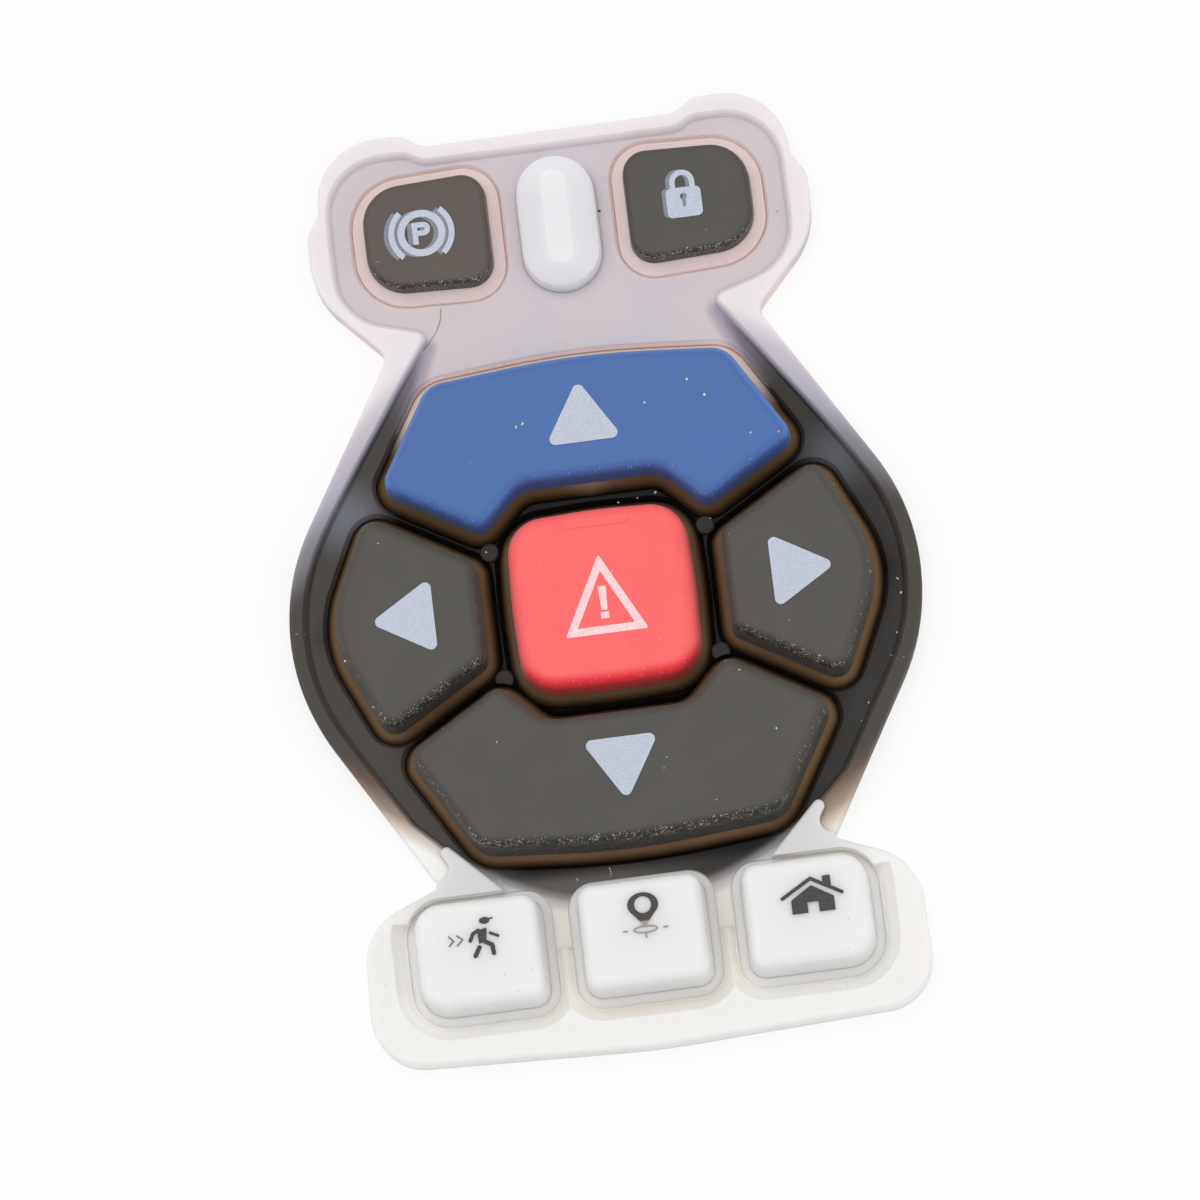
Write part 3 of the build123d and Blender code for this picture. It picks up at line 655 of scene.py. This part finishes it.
def thin_print(finish):
    """Paler ink on the ring under the pin and on the two arrows of the walker."""
    tree = finish.tree
    ring = calc(tree, "MULTIPLY", fade(tree, finish.y, *RING_Y),
                fade(tree, calc(tree, "ABSOLUTE", finish.x), *RING_X))
    tone = mix_colours(tree, ring, finish.tone, PALE_RING)
    finish.colour(mix_colours(tree, fade(tree, finish.x, *ARROWS_X), tone, PALE_ARROWS))


silver_ink = ink("silver_ink", linear(200, 207, 221), linear(166, 172, 186), 14.0, 0.5,
                 metallic=0.1)
pink_ink = ink("pink_ink", linear(255, 222, 224), linear(252, 196, 200), 5.0, 0.5)
dark_ink = ink("dark_ink", linear(78, 74, 72), linear(44, 42, 42), 7.0, 0.6)
thin_print(dark_ink)
for name in ("parking", "lock", "up", "left", "right", "down"):
    silver_ink.dress(nodes["legend_" + name])
pink_ink.dress(nodes["legend_hazard"])
for name in ("follow", "location", "home"):
    dark_ink.dress(nodes["legend_" + name])
print("Legends:", sum(name.startswith("legend_") for name in nodes))

# %% [markdown]
# The print on the two upper keys is doubled: a fainter copy lies a third of a
# millimetre to the left, as if the pad had touched twice. A copy of each legend's
# mesh, moved in its vertices and set a hair lower, shows as that first touch.

# %% Doubled print
FIRST_TOUCH = {"parking": (-0.36, 0.0), "lock": (-0.3, 0.08)}
FIRST_TOUCH_SINK = 0.03

faint_ink = ink("faint_silver_ink", linear(140, 144, 154), linear(108, 110, 118), 14.0, 0.5,
                metallic=0.1)
for key, (right, up) in FIRST_TOUCH.items():
    mesh = nodes["legend_" + key].data.copy()
    mesh.name = "first_touch_" + key
    mesh.transform(Matrix.Translation(Vector((right, up, -FIRST_TOUCH_SINK)) * MM))
    piece = put_in_scene("first_touch_" + key, mesh)
    faint_ink.dress(piece)
    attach(piece, key + "_key")
print("Doubled legends:", list(FIRST_TOUCH))

# %% [markdown]
# ## The skirts
#
# Each key hangs on a thin skirt, which starts low on the wall of its moat and rises
# to the key, and folds when the key goes down. A copy of the CAD skirt is merged into
# one mesh and cut at several levels.
#
# The milky skirts are drawn at less than half their depth, so that they don't show as
# dark moats, which the picture doesn't have.

# %% Bending skirts
SKIRT_CUTS = 6
SHARP_ANGLE = math.radians(35)


def bending_skirt(key, finish, drop):
    """A copy of a CAD skirt, cut at several levels; drop is the share of its depth that is kept."""
    source = nodes["web_" + key]
    low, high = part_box("web_" + key)
    form = bmesh.new()
    form.from_mesh(source.data)
    bmesh.ops.remove_doubles(form, verts=form.verts, dist=0.001 * MM)
    bmesh.ops.scale(form, verts=form.verts, vec=(1, 1, drop),
                    space=Matrix.Translation((0, 0, -high.z)))
    low.z = high.z - (high.z - low.z) * drop
    for step in range(1, SKIRT_CUTS + 1):
        level = low.z + (high.z - low.z) * step / (SKIRT_CUTS + 1)
        bmesh.ops.bisect_plane(form, geom=form.verts[:] + form.edges[:] + form.faces[:],
                               plane_co=(0, 0, level), plane_no=(0, 0, 1))
    mesh = bpy.data.meshes.new("skirt_" + key)
    form.to_mesh(mesh)
    form.free()
    mesh.shade_smooth()
    mesh.set_sharp_from_angle(angle=SHARP_ANGLE)
    piece = put_in_scene("skirt_" + key, mesh)
    finish.dress(piece)
    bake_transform(piece)
    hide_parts("web_" + key)
    return piece


print("Cuts in each skirt:", SKIRT_CUTS)

# %% [markdown]
# Round the arrow cross the skirts are thin black rubber, drawn brown as painted back-light
# through it and lightest at the crest by the key, and the upper arrow's turns beige at its
# far side, where milky rubber starts. The two upper keys have skirts in a painted rosy
# back-light and the white keys cream ones. Pale rubber lets more light in, so those are milkier.

# %% Skirt finishes
CREST_Z = (0.75, 1.5)
FAR_SIDE, FAR_SIDE_BOW = (8.0, 12.0), 0.35
PALE_FROM = 0.3
MILKY_PALE, MILKY_BROWN = 0.6, 0.2


def skirt_finish(name, colour, crest, light=None):
    """Thin rubber with its own tone at the crest by the key, a lighter painted back-light on the
    brown skirts; light is the far side's colour.
    """
    finish = Finish(name, roughness=0.45, grain=0.01, grain_scale=5.0, gloss=0.2)
    tree = finish.tree
    tone = mix_colours(tree, fade(tree, finish.z, *CREST_Z), colour, crest)
    if light:
        across = calc(tree, "ABSOLUTE", finish.x)
        side = calc(tree, "MULTIPLY_ADD", across, -FAR_SIDE_BOW, finish.y)
        tone = mix_colours(tree, fade(tree, side, *FAR_SIDE), tone, light)
    finish.colour(tone)
    finish.milky(MILKY_PALE if colour[1] > PALE_FROM else MILKY_BROWN, 0.6)
    return finish


# Painted back-light: brown through thin black rubber, lighter at the crest; rosy through the milky
# rubber of the upper keys.
brown = skirt_finish("backlit_brown_skirt", linear(48, 36, 24), linear(126, 100, 74))
brown_to_beige = skirt_finish("backlit_brown_to_beige_skirt", linear(46, 34, 22), linear(108, 84, 56),
                              light=linear(228, 214, 200))
rosy = skirt_finish("rosy_backlit_skirt", linear(248, 214, 209), linear(246, 215, 211))
cream = skirt_finish("cream_skirt", linear(255, 247, 239), linear(255, 247, 239))
DEEP, SHALLOW = 1.0, 0.45
SKIRT_LOOKS = {
    "parking": (rosy, "milky_silicone", SHALLOW), "lock": (rosy, "milky_silicone", SHALLOW),
    "up": (brown_to_beige, "brown_silicone", DEEP), "left": (brown, "brown_silicone", DEEP),
    "right": (brown, "brown_silicone", DEEP), "down": (brown, "brown_silicone", DEEP),
    "hazard": (brown, "brown_silicone", DEEP), "follow": (cream, "milky_silicone", SHALLOW),
    "location": (cream, "milky_silicone", SHALLOW), "home": (cream, "milky_silicone", SHALLOW),
}
for key, (finish, slot, drop) in SKIRT_LOOKS.items():
    bending_skirt(key, finish, drop)
print("Skirts:", len(SKIRT_LOOKS))

# %% [markdown]
# ## Crumbs, lint and hairs
#
# A used mat collects crumbs on its keys and in its corners, and they are part of how
# the real one looks. A particle system would strew them evenly, but real dirt sits
# where it was left, so each crumb has its own place and size. A ray sent straight down
# finds the surface under it. The crumbs that lie on one body form one piece, and it
# rides on that body, so the dirt goes down with a pressed key.

# %% Finding the surface
NO_DIRT_ON = ("legend_", "pill_", "web_")
ABOVE_ALL = 20.0


def surface_tree(node):
    """A search tree over one CAD piece, for rays."""
    mesh = nodes[node].data
    places = [vertex.co for vertex in mesh.vertices]
    return BVHTree.FromPolygons(places, [face.vertices for face in mesh.polygons])


surfaces = {name: surface_tree(name) for name in nodes if not name.startswith(NO_DIRT_ON)}


def height_on(node, x, y):
    """The z in metres of a piece's upper surface at a place in mm, or None beside the piece."""
    above = Vector((x, y - HAZARD_Y, ABOVE_ALL)) * MM
    hit = surfaces[node].ray_cast(above, Vector((0, 0, -1)))[0]
    return hit.z if hit else None


print("Pieces that dirt can lie on:", len(surfaces))

# %% [markdown]
# Each crumb is given as x, y and size in millimetres, in the same coordinates as the
# patterns. The lists are long, but a place that is written down can be moved by hand.

# %% Places of the crumbs
PALE, TAN, DARK = "pale_lint", "tan_crumb", "dark_crumb"
CRUMBS = {
    "key_up": (PALE, [(-5.0, 13.8, 0.3), (-4.5, 14.0, 0.34), (8.3, 15.8, 0.32), (9.5, 14.4, 0.34),
                      (4.9, 14.4, 0.26), (12.6, 11.0, 0.22), (14.7, 10.8, 0.24), (-13.9, 8.6, 0.2),
                      (6.4, 9.2, 0.14), (-8.8, 11.5, 0.12)]),
    "key_down": (PALE, [(3.3, -13.2, 0.2), (3.0, -14.0, 0.16), (11.7, -12.1, 0.22),
                        (9.5, -7.3, 0.2), (-0.8, -8.3, 0.18), (-9.2, -10.4, 0.14),
                        (6.6, -16.9, 0.16)]),
    "key_right": (TAN, [(18.3, 6.2, 0.26), (18.6, 5.7, 0.22), (20.2, -0.9, 0.24), (15.6, -6.9, 0.3),
                        (13.7, -3.9, 0.16), (9.9, 4.4, 0.22), (10.0, 3.3, 0.18)]),
    "key_left": (PALE, [(-18.2, -6.3, 0.24), (-19.9, -2.5, 0.26), (-19.9, -3.1, 0.2),
                        (-16.4, 6.1, 0.16)]),
    "center_mat": (PALE, [(22.2, -1.1, 0.34), (22.3, -2.2, 0.26), (18.8, -10.3, 0.22),
                          (18.1, -11.6, 0.2), (21.6, -5.2, 0.18), (-8.5, 5.0, 0.2),
                          (-10.4, -20.2, 0.2), (-4.6, -20.9, 0.22), (8.7, 5.4, 0.22),
                          (1.9, 7.7, 0.26), (4.8, 8.0, 0.3), (5.2, 8.3, 0.2), (3.4, 7.8, 0.18)]),
    "upper_mat": (DARK, [(3.2, 30.7, 0.34), (-9.3, 25.7, 0.24), (-2.9, 30.6, 0.2),
                         (14.9, 29.3, 0.22), (16.8, 28.8, 0.18)]),
    "key_hazard": (PALE, [(0.9, 1.6, 0.16), (7.1, 4.1, 0.24), (3.9, -4.1, 0.14), (1.2, -3.8, 0.12),
                          (-4.4, 3.0, 0.12)]),
    "lower_mat": (TAN, [(-19.7, -27.2, 0.12), (14.5, -31.5, 0.12), (16.7, -33.6, 0.1)]),
    "key_follow": (DARK, [(-10.6, -28.1, 0.12), (-9.7, -29.4, 0.12), (-8.5, -28.0, 0.1)]),
    "key_home": (DARK, [(14.9, -29.4, 0.12), (15.2, -27.2, 0.14), (11.8, -30.0, 0.12)]),
    "key_parking": (PALE, [(-14.1, 28.5, 0.14)]),
    "key_lock": (TAN, [(11.2, 27.6, 0.16), (8.0, 24.6, 0.16)]),
}
print("Places for crumbs:", sum(len(crumbs) for tone, crumbs in CRUMBS.values()))

# %% [markdown]
# A crumb starts as a ball of twenty faces. Every corner is pushed in or out a little,
# and the ball is flattened, so that it lies like a flake and no two look alike. The
# chances start from a fixed number, so each run makes the same crumbs.

# %% Crumbs
CRUMB_COLOURS = {PALE: linear(214, 208, 198), TAN: linear(172, 154, 122),
                 DARK: linear(96, 72, 54)}

crumb_finishes = {}
for tone, colour in CRUMB_COLOURS.items():
    crumb_finishes[tone] = Finish(tone, roughness=0.9, grain=0)
    crumb_finishes[tone].colour(mottled(crumb_finishes[tone], colour, 0.25, 6.0))


def body_of(node):
    """The body that a CAD piece belongs to."""
    return "mat" if node.endswith("_mat") else node.removeprefix("key_") + "_key"


def new_piece(name, form, finish, body):
    """Makes an object of a bmesh, dresses it and lets it ride on a body."""
    mesh = bpy.data.meshes.new(name)
    form.to_mesh(mesh)
    form.free()
    piece = put_in_scene(name, mesh)
    finish.dress(piece)
    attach(piece, body)


def crumb(form, chance, x, y, z, size):
    """A small flake: a ball of twenty faces, flattened, bent out of shape and laid down."""
    ball = bmesh.ops.create_icosphere(form, subdivisions=1, radius=size * MM / 2)["verts"]
    flat = Matrix.Diagonal((1.0, chance.uniform(0.4, 0.75), chance.uniform(0.3, 0.5), 1.0))
    turn = Matrix.Rotation(chance.uniform(0, math.pi), 4, "Z")
    place = Matrix.Translation((x * MM, (y - HAZARD_Y) * MM, z + 0.1 * size * MM))
    for vertex in ball:
        vertex.co *= chance.uniform(0.7, 1.15)
    bmesh.ops.transform(form, matrix=place @ turn @ flat, verts=ball)


def strew(node, tone, crumbs):
    """Lays all the crumbs of one CAD piece, as one piece of dirt."""
    chance = random.Random(len(crumbs))
    form = bmesh.new()
    for x, y, size in crumbs:
        z = height_on(node, x, y)
        if z is None:
            print("No surface under a crumb:", node, x, y)
        else:
            crumb(form, chance, x, y, z, size)
    new_piece("crumbs_" + node, form, crumb_finishes[tone], body_of(node))


for node, (tone, crumbs) in CRUMBS.items():
    strew(node, tone, crumbs)
print("Pieces of crumbs:", len(CRUMBS))

# %% [markdown]
# A hair is far thinner than a crumb and runs on, so it is a tube: a ring of six points
# extruded from one place to the next, each just above the surface that it lies on. The
# extrude operator makes the same faces each time, but not in the same order. Sorted by
# their corners at the end, they come out alike on each run.

# %% Hairs
HAIR_SIDES = 6
HAIRS = {
    "hair_left_rim": ("center_mat", PALE, 0.045, [(-23.6, 0.5), (-22.9, 0.45)]),
    "hair_right_rim": ("center_mat", PALE, 0.05, [(20.9, -6.9), (21.9, -7.3)]),
    "hair_parking": ("upper_mat", DARK, 0.04, [(-9.8, 24.6), (-9.9, 23.8), (-10.3, 22.9),
                                               (-11.0, 22.0), (-11.5, 21.5)]),
    "fibre_plateau": ("center_mat", PALE, 0.06, [(-2.1, -20.3), (-2.0, -20.7), (-2.1, -21.0)]),
}


def hair(name, node, tone, thickness, places):
    """A fine thread: a small ring pushed from point to point just above the surface."""
    form = bmesh.new()
    points = [Vector((x * MM, (y - HAZARD_Y) * MM, height_on(node, x, y) + thickness * MM / 2))
              for x, y in places]
    ring = bmesh.ops.create_circle(form, segments=HAIR_SIDES, radius=thickness * MM / 2)["verts"]
    turn = (points[1] - points[0]).to_track_quat("Z", "Y").to_matrix().to_4x4()
    bmesh.ops.transform(form, matrix=Matrix.Translation(points[0]) @ turn, verts=ring)
    edges = form.edges[:]
    bmesh.ops.contextual_create(form, geom=edges)
    for before, after in zip(points, points[1:]):
        grown = bmesh.ops.extrude_edge_only(form, edges=edges)["geom"]
        moved = [part for part in grown if isinstance(part, bmesh.types.BMVert)]
        edges = [part for part in grown if isinstance(part, bmesh.types.BMEdge)
                 and all(vertex in moved for vertex in part.verts)]
        bmesh.ops.translate(form, verts=moved, vec=after - before)
    bmesh.ops.contextual_create(form, geom=edges)
    bmesh.ops.recalc_face_normals(form, faces=form.faces)
    form.verts.index_update()
    form.faces.sort(key=lambda face: sum(2 ** vertex.index for vertex in face.verts))
    new_piece(name, form, crumb_finishes[tone], body_of(node))


for name, (node, tone, thickness, places) in HAIRS.items():
    hair(name, node, tone, thickness, places)
print("Hairs:", len(HAIRS))

# %% [markdown]
# ## Floor, background and lamps
#
# A pale floor with one big soft lamp above and a weaker one beside it, as on a
# product table. The floor also glows, for the camera only, so that it looks as white as
# the background. It keeps the shadow of the mat, because the glow is just part of what
# the camera sees.

# %% Floor
FLOOR_SIZE = 6.0
FLOOR_DROP = 0.02
FLOOR_GREY = 0.95
FLOOR_ROUGHNESS = 0.9
FLOOR_GLOW = 0.8
WHITE = (1.0, 1.0, 1.0, 1.0)


def mix_shaders(tree, share, first, second, output):
    """Mixes two shaders and joins them to the material's or the world's output node."""
    mixer = tree.nodes.new("ShaderNodeMixShader")
    for socket, value in zip(mixer.inputs, (share, first, second)):
        feed(tree, socket, value)
    feed(tree, tree.nodes[output].inputs["Surface"], mixer.outputs[0])


mesh = bpy.data.meshes.new("floor")
form = bmesh.new()
bmesh.ops.create_grid(form, x_segments=1, y_segments=1, size=FLOOR_SIZE / 2)
bmesh.ops.translate(form, verts=form.verts, vec=(0, 0, -FLOOR_DROP * MM))
form.to_mesh(mesh)
form.free()
floor = put_in_scene("floor", mesh)

floor_material = bpy.data.materials.new("pale_floor")
floor_material.use_nodes = True
tree = floor_material.node_tree
shader = tree.nodes["Principled BSDF"]
shader.inputs["Base Color"].default_value = (FLOOR_GREY, FLOOR_GREY, FLOOR_GREY, 1.0)
shader.inputs["Roughness"].default_value = FLOOR_ROUGHNESS
glow = tree.nodes.new("ShaderNodeEmission")
glow.inputs["Color"].default_value = WHITE
glow.inputs["Strength"].default_value = 1.0
path = tree.nodes.new("ShaderNodeLightPath")
glow_share = calc(tree, "MULTIPLY", path.outputs["Is Camera Ray"], FLOOR_GLOW)
mix_shaders(tree, glow_share, shader.outputs[0], glow.outputs[0], "Material Output")
floor.data.materials.append(floor_material)
print("Floor size in m:", FLOOR_SIZE)

# %% [markdown]
# The background has two strengths. The mat is lit by the dim one, so that the lamps
# still shape it. The camera, and light that comes off shiny or through clear surfaces,
# meets the bright one, which is plain white.

# %% Background
SKY_LIGHT = 0.62
SKY_SEEN = 1.0

world = bpy.data.worlds.new("studio")
bpy.context.scene.world = world
world.use_nodes = True
tree = world.node_tree
dim = tree.nodes["Background"]
bright = tree.nodes.new("ShaderNodeBackground")
for node, strength in ((dim, SKY_LIGHT), (bright, SKY_SEEN)):
    node.inputs["Color"].default_value = WHITE
    node.inputs["Strength"].default_value = strength
path = tree.nodes.new("ShaderNodeLightPath")
seen = calc(tree, "MAXIMUM", path.outputs["Is Camera Ray"], path.outputs["Is Glossy Ray"])
seen = calc(tree, "MAXIMUM", seen, path.outputs["Is Transmission Ray"])
mix_shaders(tree, seen, dim.outputs[0], bright.outputs[0], "World Output")
print("Background strengths:", SKY_LIGHT, SKY_SEEN)

# %% [markdown]
# Both lamps are wide squares near the mat, because a wide source makes the soft
# shadows of a cloudy day. Places and sizes are in metres and powers in watts.

# %% Lamps
def soft_lamp(name, place, size, power):
    """A square area lamp aimed at the middle of the mat."""
    data = bpy.data.lights.new(name, "AREA")
    data.size = size
    data.energy = power
    lamp = put_in_scene(name, data)
    lamp.location = place
    lamp.rotation_mode = "QUATERNION"
    lamp.rotation_quaternion = Vector(place).to_track_quat("Z", "Y")


soft_lamp("main_lamp", (-0.15, 0.18, 0.8), 0.8, 2.9)
soft_lamp("fill_lamp", (0.5, -0.3, 0.5), 0.5, 0.7)
print("Lamps:", len(bpy.data.lights))
